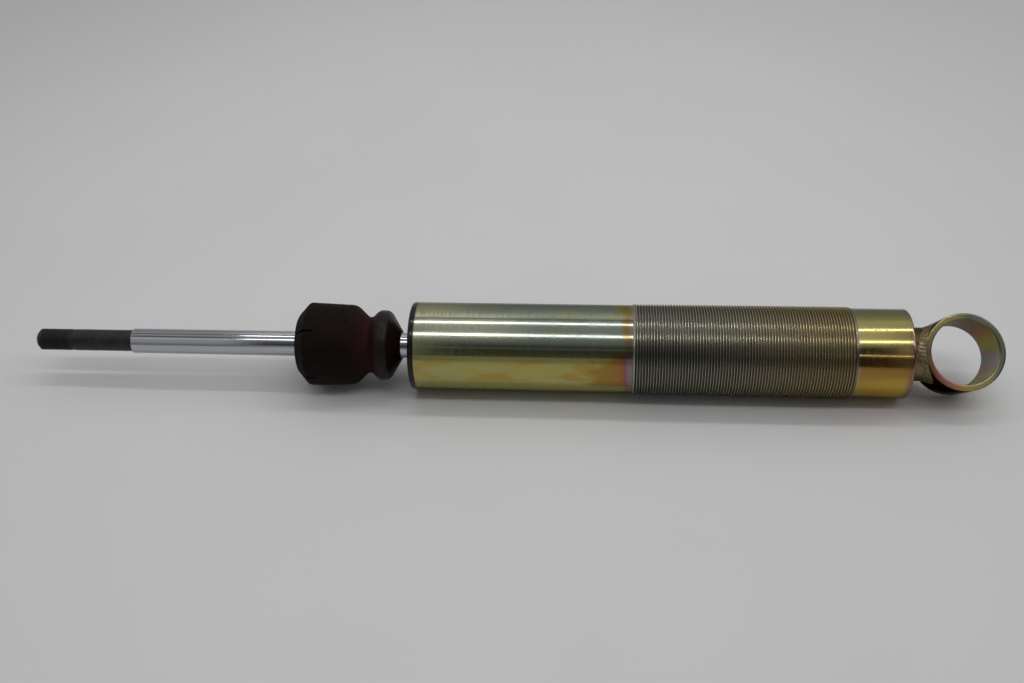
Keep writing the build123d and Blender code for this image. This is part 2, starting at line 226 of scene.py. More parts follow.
class Nodes:
    """Short calls for the nodes that this scene uses, in one node tree."""

    def __init__(self, tree):
        self.tree = tree

    def node(self, kind):
        return self.tree.nodes.new(kind)

    def link(self, source, socket):
        """Feed a socket from another socket, a number or a colour."""
        if isinstance(source, (int, float)):
            socket.default_value = source
        elif isinstance(source, tuple):
            socket.default_value = (*source, 1.0)
        else:
            self.tree.links.new(source, socket)

    def math(self, operation, *values):
        node = self.node("ShaderNodeMath")
        node.operation = operation
        for value, socket in zip(values, node.inputs):
            self.link(value, socket)
        return node.outputs[0]

    def plus(self, a, b):
        return self.math("ADD", a, b)

    def minus(self, a, b):
        return self.math("SUBTRACT", a, b)

    def times(self, *values):
        product = values[0]
        for value in values[1:]:
            product = self.math("MULTIPLY", product, value)
        return product

    def over(self, a, b):
        return self.math("DIVIDE", a, b)

    def length(self, a, b):
        """Length of a flat vector from its two parts."""
        return self.math("SQRT", self.plus(self.times(a, a), self.times(b, b)))

    def ease(self, value, start, end, low=0.0, high=1.0):
        """Low before start, high after end, smooth between them."""
        node = self.node("ShaderNodeMapRange")
        node.interpolation_type = "SMOOTHSTEP"
        self.link(value, node.inputs["Value"])
        if start > end:
            start, end, low, high = end, start, high, low
        for socket, number in zip(("From Min", "From Max", "To Min", "To Max"), (start, end, low, high)):
            node.inputs[socket].default_value = number
        return node.outputs["Result"]

    def vector(self, x, y, z=0.0):
        node = self.node("ShaderNodeCombineXYZ")
        for socket, source in zip(node.inputs, (x, y, z)):
            self.link(source, socket)
        return node.outputs[0]

    def noise(self, vector, scale=1.0, detail=2.0, roughness=0.5):
        node = self.node("ShaderNodeTexNoise")
        self.link(vector, node.inputs["Vector"])
        node.inputs["Scale"].default_value = scale
        node.inputs["Detail"].default_value = detail
        node.inputs["Roughness"].default_value = roughness
        return node.outputs["Fac"]

    def gradient(self, value, stops):
        """Colours at real values, blended straight between them."""
        first, last = stops[0][0], stops[-1][0]
        node = self.node("ShaderNodeValToRGB")
        self.link(self.over(self.minus(value, first), last - first), node.inputs[0])
        elements = node.color_ramp.elements
        while len(elements) < len(stops):
            elements.new(0.5)
        for element, (at, colour) in zip(elements, stops):
            element.position = (at - first) / (last - first)
            element.color = (*colour, 1.0)
        return node.outputs[0]

    def mix(self, share, a, b):
        """Colour a where share is 0 and colour b where it is 1."""
        node = self.node("ShaderNodeMix")
        node.data_type = "RGBA"
        for source, number in ((share, 0), (a, 6), (b, 7)):
            self.link(source, node.inputs[number])
        return node.outputs[2]

    def bump(self, height, distance, strength=1.0, under=None):
        node = self.node("ShaderNodeBump")
        node.inputs["Strength"].default_value = strength
        node.inputs["Distance"].default_value = distance
        self.link(height, node.inputs["Height"])
        if under is not None:
            self.link(under, node.inputs["Normal"])
        return node.outputs[0]


class Shader(Nodes):
    """A material, with the object's own coordinates and the place round the damper's axis."""

    def __init__(self, name):
        self.material = bpy.data.materials.new(name)
        self.material.use_nodes = True
        super().__init__(self.material.node_tree)
        self.out = self.tree.nodes["Principled BSDF"]
        self.place = self.node("ShaderNodeTexCoord").outputs["Object"]
        split = self.node("ShaderNodeSeparateXYZ")
        self.link(self.place, split.inputs[0])
        self.x, self.y, self.z = split.outputs
        self.around = self.math("ARCTAN2", self.z, self.times(self.y, -1.0))
        self.radius = self.length(self.y, self.z)

    def wrapped(self, along, around, shift=0.0):
        """Noise coordinates laid round the tube: cycles per metre along X, cycles per radian around."""
        return self.vector(self.times(self.x, along), self.times(self.around, around), shift)

    def finish(self, colour, roughness, metallic=0.0, normal=None, **sockets):
        """Feed the surface shader; further sockets go by their names in small letters."""
        self.link(colour, self.out.inputs["Base Color"])
        self.link(roughness, self.out.inputs["Roughness"])
        self.link(metallic, self.out.inputs["Metallic"])
        if normal is not None:
            self.link(normal, self.out.inputs["Normal"])
        for name, value in sockets.items():
            self.link(value, self.out.inputs[name.replace("_", " ").title().replace("Ior", "IOR")])
        return self.material


# Plating colours, as the metal's own reflectance; the thread's root colours also carry painted shade, and
# the bright straw and bright silver are painted sheen
GOLD = (0.41, 0.37, 0.122)
SILVER = (0.295, 0.335, 0.290)
OLIVE_SILVER = (0.315, 0.352, 0.255)
GREY_GREEN = (0.250, 0.275, 0.250)
STRAW = (0.352, 0.361, 0.176)
DEEP_GOLD = (0.50, 0.32, 0.058)
PALE_GOLD = (0.39, 0.33, 0.115)
OLIVE = (0.30, 0.285, 0.105)
BROWN_GOLD = (0.317, 0.167, 0.048)
ORANGE = (0.41, 0.285, 0.066)
SAGE = (0.36, 0.365, 0.142)
ROSE = (0.264, 0.123, 0.097)
PINK_ZINC = (0.317, 0.220, 0.185)
CREST_GREY = (0.53, 0.52, 0.43)
CREST_BROWN = (0.54, 0.41, 0.18)
# Thread roots: dirt and painted shade in the grooves, with deeper painted shade in SHADED_ROOT
ROOT_DIRT_AND_SHADE = (0.165, 0.155, 0.120)
SHADED_ROOT = (0.095, 0.092, 0.070)
THREAD_EDGE = (0.317, 0.299, 0.220)
MARK_GREY = (0.16, 0.16, 0.13)
PAINTED_SHEEN_STRAW = (0.50, 0.51, 0.30)
PAINTED_SHEEN_SILVER = (0.58, 0.59, 0.45)
EDGE_TINT = (0.60, 0.60, 0.55)

# The tube's plating left and right of its thread, by degrees up from the front horizon
LEFT_PLATING = (
    (-180, (0.46, 0.43, 0.17)),
    (-14, (0.46, 0.43, 0.17)),
    (4, GOLD),
    (16, GOLD),
    (26, SAGE),
    (38, OLIVE_SILVER),
    (52, SILVER),
    (74, SILVER),
    (84, OLIVE_SILVER),
    (96, GREY_GREEN),
    (120, GREY_GREEN),
    (180, GOLD),
)
RIGHT_PLATING = (
    (-180, DEEP_GOLD),
    (14, DEEP_GOLD),
    (30, (0.33, 0.19, 0.055)),
    (38, (0.42, 0.29, 0.10)),
    (46, PALE_GOLD),
    (66, PALE_GOLD),
    (88, OLIVE),
    (120, GREY_GREEN),
    (180, DEEP_GOLD),
)

# What the heat of the thread's machining left beside it, by millimetres from the thread
UPPER_RAINBOW = (
    (0.0, (0.326, 0.299, 0.238)),
    (2.0, (0.308, 0.220, 0.106)),
    (4.0, (0.317, 0.211, 0.053)),
    (7.0, (0.326, 0.273, 0.057)),
    (10.0, (0.326, 0.308, 0.114)),
    (14.0, (0.317, 0.334, 0.194)),
)
LOWER_RAINBOW = (
    (0.0, (0.255, 0.202, 0.176)),
    (2.2, (0.264, 0.176, 0.220)),
    (3.6, (0.246, 0.097, 0.097)),
    (5.4, (0.334, 0.114, 0.040)),
    (8.0, (0.326, 0.150, 0.035)),
    (14.0, (0.317, 0.185, 0.040)),
)


def fine_rings(s):
    """Height of the turned surface's rings."""
    return s.noise(s.wrapped(1300.0, 0.35, 2.0), detail=4.0, roughness=0.65)


def turning_marks(s):
    """Fine ticks left by turning: lines round the axis that come and go, 0 to 1."""
    lines = s.noise(s.wrapped(1250.0, 0.5), detail=3.0, roughness=0.65)
    faint = s.noise(s.wrapped(2300.0, 3.0, 7.0), detail=1.0)
    patches = s.noise(s.wrapped(150.0, 4.5, 4.0), detail=2.0)
    strong = s.times(s.ease(lines, 0.46, 0.62), s.ease(patches, 0.44, 0.60, 0.12, 1.0))
    return s.math("MAXIMUM", strong, s.ease(faint, 0.42, 0.70, 0.0, 0.75))


def rainbow(s, degrees, base):
    """The coloured band beside the thread, strongest and most ragged on the lower front."""
    wander = s.times(s.minus(s.noise(s.wrapped(30.0, 2.2, 9.0), detail=2.0), 0.5), 5 * MM)
    distance = s.over(s.plus(s.minus(thread_x0, s.x), wander), MM)
    front = s.times(s.ease(degrees, 40, 24), s.ease(degrees, -26, -14))
    band = s.mix(front, s.gradient(distance, UPPER_RAINBOW), s.gradient(distance, LOWER_RAINBOW))
    narrow = s.ease(distance, 7, 1.5)
    wide = s.minus(s.ease(distance, 13, 5), narrow)
    fade_upper = s.plus(narrow, s.times(s.ease(degrees, 82, 94), wide))
    blotch = s.noise(s.wrapped(60.0, 3.0, 5.0), detail=3.0)
    ragged = s.plus(distance, s.times(s.minus(blotch, 0.5), 50.0))
    fade_lower = s.math("MAXIMUM", fade_upper, s.ease(ragged, 28, 11, 0.0, 0.9))
    fade = s.plus(fade_upper, s.times(front, s.minus(fade_lower, fade_upper)))
    return s.mix(s.times(fade, s.ease(s.x, thread_x0 + 0.2 * MM, thread_x0)), base, band)


def left_plating(s, degrees):
    """Left of the thread: stained straw above, with painted sheen of bright straw and silver towards the
    rod's end.
    """
    above = s.ease(degrees, 44, 60)
    stains = s.noise(s.wrapped(55.0, 2.4, 3.0), detail=4.0, roughness=0.6)
    tint = s.gradient(degrees, LEFT_PLATING)
    tint = s.mix(s.times(s.ease(stains, 0.48, 0.66, 0.0, 0.75), above), tint, STRAW)
    tint = s.mix(s.ease(s.x, tube_x0 + 34 * MM, tube_x0 + 4 * MM, 0.0, 0.55), tint, STRAW)
    # Painted sheen: lighter straw on the upper side near the rod's end
    straw = s.times(s.ease(s.x, tube_x0 + 48 * MM, tube_x0 + 10 * MM, 0.0, 0.65), above)
    tint = s.mix(straw, tint, PAINTED_SHEEN_STRAW)
    # Painted sheen: bright silver between the two lamp highlights near the rod's end
    silver = s.times(s.ease(degrees, 42, 50), s.ease(degrees, 87, 77))
    silver = s.times(silver, s.ease(s.x, tube_x0 + 74 * MM, tube_x0 + 36 * MM, 0.0, 0.75))
    return s.mix(silver, tint, PAINTED_SHEEN_SILVER)


def clouded(s, degrees, tint):
    """Orange and sage clouds in the gold below, brown right of the thread."""
    clouds = s.noise(s.wrapped(46.0, 2.6), detail=4.0, roughness=0.58)
    middle = s.times(s.ease(degrees, 25, 16), s.ease(degrees, -24, -2, 0.25, 1.0))
    tint = s.mix(s.times(s.ease(clouds, 0.46, 0.62, 0.0, 0.9), middle), tint, ORANGE)
    tint = s.mix(s.times(s.ease(clouds, 0.45, 0.34, 0.0, 0.8), s.ease(degrees, 32, 10)), tint, SAGE)
    brown = s.times(s.ease(degrees, 34, 24), s.ease(degrees, -4, 12))
    right_end = s.ease(s.x, thread_x1, thread_x1 + 1 * MM)
    return s.mix(s.times(brown, right_end, 0.8), tint, BROWN_GOLD)


def blushed(s, degrees, past, tint):
    """Rose and pink zinc along the tube's ends, pale zinc where the thread ends."""
    to_end = s.minus(tube_x1, s.x)
    blush = s.times(s.ease(to_end, 5 * MM, 1.2 * MM, 0.0, 0.85), s.ease(degrees, 74, 40, 0.25, 1.0))
    tint = s.mix(blush, tint, ROSE)
    tint = s.mix(s.ease(to_end, 1.8 * MM, 0.5 * MM, 0.0, 0.8), tint, PINK_ZINC)
    tint = s.mix(s.ease(s.x, tube_x0 + 1.2 * MM, tube_x0, 0.0, 0.6), tint, PINK_ZINC)
    edge = s.times(s.ease(past, -0.1 * MM, 0.1 * MM), s.ease(past, 1.4 * MM, 0.3 * MM, 0.0, 0.6))
    return s.mix(edge, tint, THREAD_EDGE)


def thread_plating(s, degrees, past, height):
    """Bright crests over roots darkened by dirt and painted shade, with deeper painted shade in the roots
    on the lower front towards the rod's side; browner towards the eye.
    """
    crest = s.mix(s.ease(s.x, thread_x0 + 30 * MM, thread_x1), CREST_GREY, CREST_BROWN)
    # Painted shade: roots on the lower front, towards the rod's side, go darker still
    shaded = s.times(s.ease(degrees, 62, 36), s.ease(s.x, thread_x1 - 15 * MM, thread_x0 + 20 * MM))
    tint = s.mix(height, s.mix(shaded, ROOT_DIRT_AND_SHADE, SHADED_ROOT), crest)
    # Painted shade: the thread's last turn near the eye is blended towards the root's dirt and shade
    return s.mix(s.ease(past, -1.7 * MM, -1.2 * MM, 0.0, 0.6), tint, ROOT_DIRT_AND_SHADE)


def plated_tube():
    """Yellow passivated zinc: grey-green above, silver in front, gold below, rainbow by the thread."""
    s = Shader("plated_tube")
    degrees = s.math("DEGREES", s.around)
    past = s.minus(s.x, thread_x1)
    marks = turning_marks(s)
    right = s.gradient(degrees, RIGHT_PLATING)
    tint = s.mix(s.ease(s.x, thread_x1 - 20 * MM, thread_x1), left_plating(s, degrees), right)
    tint = rainbow(s, degrees, clouded(s, degrees, tint))
    tint = s.mix(s.times(marks, s.ease(degrees, 34, 46, 0.03, 0.30)), tint, MARK_GREY)
    tint = blushed(s, degrees, past, tint)
    thread_start = s.ease(s.x, thread_x0 - 0.05 * MM, thread_x0 + 0.15 * MM)
    threaded = s.times(thread_start, s.ease(past, 0.0, -0.2 * MM))
    height = s.ease(s.radius, crest_r - 0.70 * MM, crest_r - 0.05 * MM)
    tint = s.mix(threaded, tint, thread_plating(s, degrees, past, height))
    grain = s.noise(s.wrapped(4200.0, 60.0), detail=1.0)
    plain_rough = s.plus(s.times(marks, 0.12), s.ease(grain, 0.42, 0.68, 0.08, 0.14))
    thread_rough = s.minus(0.36, s.times(height, 0.11))
    rough = s.plus(plain_rough, s.times(threaded, s.minus(thread_rough, plain_rough)))
    rings = s.times(fine_rings(s), s.minus(1.0, threaded))
    return s.finish(tint, rough, 1.0, s.bump(rings, 0.003 * MM, 0.5), specular_tint=EDGE_TINT)


def plated_base():
    """The neck and the closed end: brown-gold, with painted shade on the neck, darkest on its upper side.
    """
    s = Shader("plated_base")
    patches = s.ease(s.noise(s.place, 160.0, 4.0), 0.35, 0.65)
    tint = s.mix(patches, (0.317, 0.246, 0.132), (0.440, 0.370, 0.211))
    neck = s.ease(s.x, tube_x1 + 0.2 * MM, tube_x1 + 0.6 * MM)
    # Painted shade on the neck: dark on its upper side, lighter on its lower side
    shaded = s.mix(patches, (0.060, 0.043, 0.025), (0.100, 0.074, 0.043))
    low = s.mix(patches, (0.170, 0.133, 0.072), (0.235, 0.180, 0.098))
    tint = s.mix(neck, tint, s.mix(s.ease(s.math("DEGREES", s.around), 58, 26), shaded, low))
    normal = s.bump(fine_rings(s), 0.01 * MM, 0.5)
    return s.finish(tint, s.ease(patches, 0, 1, 0.30, 0.42), 1.0, normal, specular_tint=EDGE_TINT)


# Plating colours round the eye, by degrees from +X over the top
RIM_COLOURS = (
    (-180, (0.176, 0.132, 0.079)),
    (-158, (0.211, 0.114, 0.062)),
    (-138, (0.299, 0.123, 0.097)),
    (-120, (0.370, 0.150, 0.141)),
    (-104, (0.422, 0.273, 0.097)),
    (-85, (0.405, 0.326, 0.132)),
    (-50, (0.334, 0.317, 0.167)),
    (-20, (0.194, 0.211, 0.141)),
    (30, (0.150, 0.176, 0.123)),
    (62, (0.211, 0.229, 0.167)),
    (80, (0.167, 0.185, 0.132)),
    (98, (0.352, 0.317, 0.150)),
    (125, (0.405, 0.334, 0.141)),
    (150, (0.352, 0.299, 0.150)),
    (180, (0.176, 0.132, 0.079)),
)
WALL_COLOURS = (
    (-180, (0.260, 0.200, 0.120)),
    (-100, (0.300, 0.235, 0.160)),
    (-62, (0.400, 0.360, 0.190)),
    (-40, (0.500, 0.455, 0.150)),
    (-26, (0.420, 0.370, 0.230)),
    (-16, (0.460, 0.300, 0.400)),
    (-6, (0.270, 0.400, 0.330)),
    (3, (0.400, 0.250, 0.330)),
    (12, (0.300, 0.360, 0.110)),
    (25, (0.440, 0.400, 0.080)),
    (38, (0.440, 0.270, 0.080)),
    (54, (0.360, 0.190, 0.140)),
    (72, (0.300, 0.215, 0.095)),
    (110, (0.270, 0.200, 0.105)),
    (180, (0.260, 0.200, 0.120)),
)


def plated_eye():
    """Drawn tube under iridescent plating: gold, olive, teal and magenta drift into each other round it."""
    s = Shader("plated_eye")
    rise = s.plus(s.times(s.y, eye_up.y), s.times(s.z, eye_up.z))
    out = s.plus(s.times(s.y, eye_axis.y), s.times(s.z, eye_axis.z))
    drift = s.times(s.minus(s.noise(s.place, 70.0, 2.0), 0.5), 45.0)
    turn = s.plus(s.math("DEGREES", s.math("ARCTAN2", rise, s.x)), drift)
    across = s.length(rise, s.x)
    front = s.ease(out, 14.4 * MM, 13.8 * MM)
    inside = s.times(s.ease(across, EYE_BORE_R + 0.9 * MM, EYE_BORE_R + 0.2 * MM), front)
    tint = s.mix(inside, s.gradient(turn, RIM_COLOURS), s.gradient(turn, WALL_COLOURS))
    outside = s.ease(across, EYE_R - 0.5 * MM, EYE_R)
    outside = s.times(outside, s.ease(out, 14.3 * MM, 13.2 * MM, 0.0, 0.8))
    lower = s.ease(turn, -60, -100)
    tint = s.mix(s.times(outside, lower), tint, (0.167, 0.106, 0.053))
    fine = s.noise(s.place, 260.0, 3.0)
    normal = s.bump(fine, 0.002 * MM, 0.25)
    tint = s.mix(s.times(inside, 0.10), tint, (0.62, 0.56, 0.40))
    rough = s.plus(s.ease(fine, 0.3, 0.7, 0.13, 0.22), s.times(inside, 0.16))
    metallic = s.ease(inside, 0.0, 1.0, 1.0, 0.62)
    return s.finish(tint, rough, metallic, normal, specular_tint=(0.12, 0.10, 0.07))


def weld():
    """Grainy bead: pale grains, here olive and there pink, over dark gold."""
    s = Shader("weld")
    grains = s.noise(s.place, 1500.0, 2.0)
    hue = s.noise(s.place, 190.0, 2.0)
    pale = s.mix(s.ease(hue, 0.40, 0.58), (0.30, 0.31, 0.155), (0.44, 0.30, 0.215))
    tint = s.mix(s.ease(grains, 0.45, 0.68), (0.16, 0.120, 0.062), pale)
    normal = s.bump(grains, 0.08 * MM, 0.7)
    return s.finish(tint, s.ease(grains, 0.3, 0.7, 0.5, 0.32), 1.0, normal, specular_tint=EDGE_TINT)


def black_cap():
    """Gloss black with faint dust."""
    s = Shader("black_cap")
    dust = s.noise(s.place, 700.0, 4.0)
    tint = s.mix(s.ease(dust, 0.60, 0.78), (0.0075, 0.0070, 0.0065), (0.035, 0.034, 0.030))
    rim = s.ease(s.radius, tube_r - 1.2 * MM, tube_r - 0.6 * MM)
    gloss = s.plus(0.09, s.times(rim, 0.20))
    return s.finish(tint, s.ease(dust, 0.4, 0.8, 0.14, 0.34), 0.0, None, specular_ior_level=gloss)


def chromed_rod():
    """Hard chrome on the shaft, brown-black phosphate on the stud."""
    s = Shader("chromed_rod")
    stud = s.ease(s.x, shoulder_x + 0.35 * MM, shoulder_x + 0.15 * MM)
    polish = s.noise(s.wrapped(700.0, 0.6), detail=3.0)
    mottle = s.noise(s.place, 260.0, 4.0, 0.6)
    black = s.mix(s.ease(mottle, 0.35, 0.70), (0.011, 0.011, 0.010), (0.030, 0.028, 0.024))
    threaded = s.ease(s.x, stud_x0 + STUD_THREAD + 1 * MM, stud_x0 + STUD_THREAD)
    black = s.mix(s.times(threaded, 0.7), black, (0.016, 0.014, 0.011))
    tint = s.mix(stud, (0.50, 0.51, 0.54), black)
    rough = s.mix(stud, s.ease(polish, 0.3, 0.8, 0.05, 0.12), s.ease(mottle, 0.3, 0.7, 0.42, 0.60))
    grain = s.noise(s.place, 2200.0, 3.0)
    height = s.times(grain, stud)
    return s.finish(tint, rough, s.ease(stud, 0.0, 1.0, 1.0, 0.35), s.bump(height, 0.02 * MM, 0.6))


def stop_foam():
    """Microcellular foam with a moulded skin: near black, redder in the valley, shinier on the bulge."""
    s = Shader("stop_foam")
    lumps = s.noise(s.place, 90.0, 4.0, 0.6)
    tint = s.mix(s.ease(lumps, 0.35, 0.70), (0.0052, 0.0023, 0.0016), (0.0090, 0.0033, 0.0025))
    from_tip = s.minus(stop_high.x, s.x)
    valley = s.times(s.ease(from_tip, 10.5 * MM, 16 * MM), s.ease(from_tip, 27 * MM, 18 * MM))
    tint = s.mix(s.times(valley, 0.8), tint, (0.027, 0.0055, 0.0055))
    top = s.ease(s.z, 4 * MM, 22 * MM)
    dust = s.times(top, s.ease(s.noise(s.place, 240.0, 5.0, 0.7), 0.46, 0.72))
    tint = s.mix(s.times(dust, 0.11), tint, (0.024, 0.019, 0.016))
    specks = s.ease(s.noise(s.place, 900.0, 1.0), 0.76, 0.80, 0.0, 0.35)
    tint = s.mix(specks, tint, (0.16, 0.07, 0.045))
    bulge = s.ease(from_tip, 17 * MM, 9 * MM)
    # Redder foam on the bulge and tip, also lighter there as painted light on the poorly lit cone
    tint = s.mix(s.times(bulge, 0.7), tint, (0.0140, 0.0056, 0.0046))
    cells = s.noise(s.place, 2600.0, 3.0)
    pits = s.noise(s.place, 500.0, 2.0)
    rough = s.minus(s.ease(pits, 0.3, 0.7, 0.62, 0.78), s.times(bulge, 0.30))
    gloss = s.plus(0.10, s.times(bulge, 0.10))
    normal = s.bump(pits, 0.05 * MM, 0.4, s.bump(cells, 0.015 * MM, 0.4))
    return s.finish(tint, rough, 0.0, normal, specular_ior_level=gloss)


def turned_metal(name, colour, roughness, metallic=1.0):
    """A turned or rolled inner piece: rings in the finish and small shifts of shade."""

    def build():
        s = Shader(name)
        shade = s.noise(s.place, 220.0, 3.0)
        dark = tuple(c * 0.78 for c in colour)
        tint = s.mix(s.ease(shade, 0.35, 0.65), dark, colour)
        rings = fine_rings(s)
        rough = s.ease(rings, 0.3, 0.7, roughness * 0.8, roughness * 1.25)
        return s.finish(tint, rough, metallic, s.bump(rings, 0.006 * MM, 0.6))

    return build


def moulded(name, colour, roughness):
    """A moulded inner piece: fine grain and small shifts of shade."""

    def build():
        s = Shader(name)
        grain = s.noise(s.place, 1800.0, 3.0)
        light = tuple(min(1.0, c * 1.5 + 0.004) for c in colour)
        tint = s.mix(s.ease(s.noise(s.place, 300.0, 3.0), 0.35, 0.7), colour, light)
        rough = s.ease(grain, 0.3, 0.7, roughness * 0.85, roughness * 1.15)
        return s.finish(tint, rough, 0.0, s.bump(grain, 0.02 * MM, 0.5))

    return build


MAKERS = {
    "plated_tube": plated_tube,
    "plated_base": plated_base,
    "plated_eye": plated_eye,
    "weld": weld,
    "black_cap": black_cap,
    "chromed_rod": chromed_rod,
    "stop_foam": stop_foam,
    "seal_rubber": moulded("seal_rubber", (0.018, 0.018, 0.019), 0.55),
    "bumper_rubber": moulded("bumper_rubber", (0.045, 0.045, 0.048), 0.65),
    "slide_band": moulded("slide_band", (0.05, 0.16, 0.14), 0.45),
    "spring_wire": turned_metal("spring_wire", (0.34, 0.35, 0.37), 0.32),
    "guide_alloy": turned_metal("guide_alloy", (0.72, 0.73, 0.74), 0.26),
    "bush_lining": turned_metal("bush_lining", (0.56, 0.37, 0.18), 0.34),
    "bright_steel": turned_metal("bright_steel", (0.60, 0.61, 0.62), 0.24),
    "valve_steel": turned_metal("valve_steel", (0.46, 0.50, 0.56), 0.20),
    "sintered_iron": turned_metal("sintered_iron", (0.25, 0.25, 0.26), 0.48),
    "nut_steel": turned_metal("nut_steel", (0.16, 0.16, 0.17), 0.40),
    "float_alloy": turned_metal("float_alloy", (0.68, 0.69, 0.71), 0.28),
}
MATERIALS = {slot: maker() for slot, maker in MAKERS.items()}

# Every CAD node takes the finish of its slot
for subpart in frame["record"]["subparts"]:
    node = frame["nodes"][subpart["node"]]
    node.data.materials.clear()
    node.data.materials.append(MATERIALS[subpart["material_slot"]])


def make_tube():
    """The body: plain tube, helical thread and rounded end, with its bore."""
    outer = rounded([(tube_x0, BORE_R), (tube_x0, tube_r, TUBE_EDGE), (thread_x0, tube_r)])
    end = [(thread_x1, tube_r), (tube_x1, tube_r, END_ROUND), (tube_x1, BORE_R), (tube_x0, BORE_R)]
    rows = ring_rows(outer)
    rows += thread_rows(
        thread_x0, thread_x1, crest_r, THREAD_DEPTH, THREAD_PITCH, tube_r, tube_r, THREAD_RUN_OUT
    )
    rows += ring_rows(rounded(end))
    return new_piece("tube_shell", *skin_rows(rows), "tube", "plated_tube", "body_tube")


def make_rod():
    """Shaft, shoulder, plain shank and threaded tip with its hexagon socket."""
    thread_x = stud_x0 + STUD_THREAD
    tip = ring_rows([(stud_x0 + SOCKET_DEPTH, 0.0)])
    tip += hexagon_rows(stud_x0 + SOCKET_DEPTH, SOCKET_AF)
    tip += hexagon_rows(stud_x0, SOCKET_AF)
    cone = [(stud_x0, SOCKET_LIP_R), (stud_x0, STUD_R - STUD_TIP, 0.8 * MM), (stud_x0 + STUD_TIP, STUD_R)]
    tip += ring_rows(rounded(cone))
    undercut_r = STUD_R - UNDERCUT_DEPTH
    thread = thread_rows(
        stud_x0 + STUD_TIP, thread_x, STUD_R, STUD_THREAD_DEPTH, STUD_PITCH, STUD_R, undercut_r
    )
    shaft = [
        (thread_x, undercut_r),
        (thread_x + UNDERCUT_WIDTH, undercut_r, 0.2 * MM),
        (thread_x + UNDERCUT_WIDTH, STUD_R, 0.1 * MM),
        (shoulder_x, STUD_R, 0.1 * MM),
        (shoulder_x, rod_r - SHOULDER_CHAMFER),
        (shoulder_x + SHOULDER_CHAMFER, rod_r, 0.15 * MM),
        (rod_high.x - SPIGOT_LENGTH, rod_r, 0.2 * MM),
        (rod_high.x - SPIGOT_LENGTH, SPIGOT_R),
        (rod_high.x - SPIGOT_CHAMFER, SPIGOT_R),
        (rod_high.x, SPIGOT_R - SPIGOT_CHAMFER),
        (rod_high.x, 0.0),
    ]
    rows = tip + thread + ring_rows(rounded(shaft, 3))
    return new_piece("rod_shaft", *skin_rows(rows), "rod", "chromed_rod", "piston_rod")


CAP_DISH = 0.8 * MM
CAP_RIM_WIDTH = 4.2 * MM
CAP_RIM_FOOT = 5.0 * MM
CAP_SPIGOT_WALL = 3.0 * MM
CAP_FIT = 0.05 * MM
SEAL_FIT = 0.02 * MM


def make_cap():
    """Black ring with a rounded rim, its dished face and the spigot in the tube."""
    x0, x1 = cap_low.x, cap_high.x
    seat_r = seal_high.y + SEAL_FIT
    spigot_r = BORE_R - CAP_FIT
    spigot_bore_r = spigot_r - CAP_SPIGOT_WALL
    outline = [
        (x0 + CAP_DISH, seat_r),
        (x0 + CAP_DISH, tube_r - CAP_RIM_FOOT, 0.4 * MM),
        (x0, tube_r - CAP_RIM_WIDTH, 0.5 * MM),
        (x0, tube_r, 1.3 * MM),
        (tube_x0, tube_r, 0.15 * MM),
        (tube_x0, spigot_r),
        (x1, spigot_r),
        (x1, spigot_bore_r),
        (tube_x0, spigot_bore_r),
        (tube_x0, seat_r),
        (x0 + CAP_DISH, seat_r),
    ]
    return new_piece("cap_ring", *skin_rows(ring_rows(rounded(outline))), "tube", "black_cap", "end_cap")


def eye_frame():
    """Turns the X axis onto the eye's axis."""
    along = Vector((1, 0, 0))
    return Matrix((eye_axis, along, eye_axis.cross(along))).transposed()


def make_eye():
    """A short open tube with rounded rims."""
    half = EYE_WIDTH / 2
    corners = [
        (0, EYE_R),
        (half, EYE_R, EYE_EDGE),
        (half, EYE_BORE_R, EYE_EDGE),
        (-half, EYE_BORE_R, EYE_EDGE),
        (-half, EYE_R, EYE_EDGE),
        (0, EYE_R),
    ]
    points, faces = skin_rows(ring_rows(rounded(corners)))
    points = points @ np.array(eye_frame()).T
    return new_piece("eye_tube", points, faces, "tube", "plated_eye", "eye_ring")


WELD_STEPS = 240
WELD_SECTION = 9
WELD_REACH = 3.6 * MM
WELD_RISE = 1.5 * MM
WELD_SIDE = 0.3 * MM
WELD_SINK = 0.4 * MM
WELD_RIPPLES = 46
WELD_RIPPLE_SLANT = 2.2
WELD_RIPPLE_HEIGHT = 0.10 * MM
# Grain on the bead: cycles per metre and height
WELD_GRAIN = ((900, 0.16 * MM), (2600, 0.10 * MM))


def uneven(place, layers):
    """Height of unevenness at a place, as a sum of layers of noise: cycles per metre and height."""
    return sum(noise.noise(place * scale) * height for scale, height in layers)


def ring_face(turn, radius):
    """Where along X the eye's outside lies, at a turn and a radius about the damper's axis."""
    return -math.sqrt(EYE_R**2 - (radius * math.sin(turn)) ** 2)


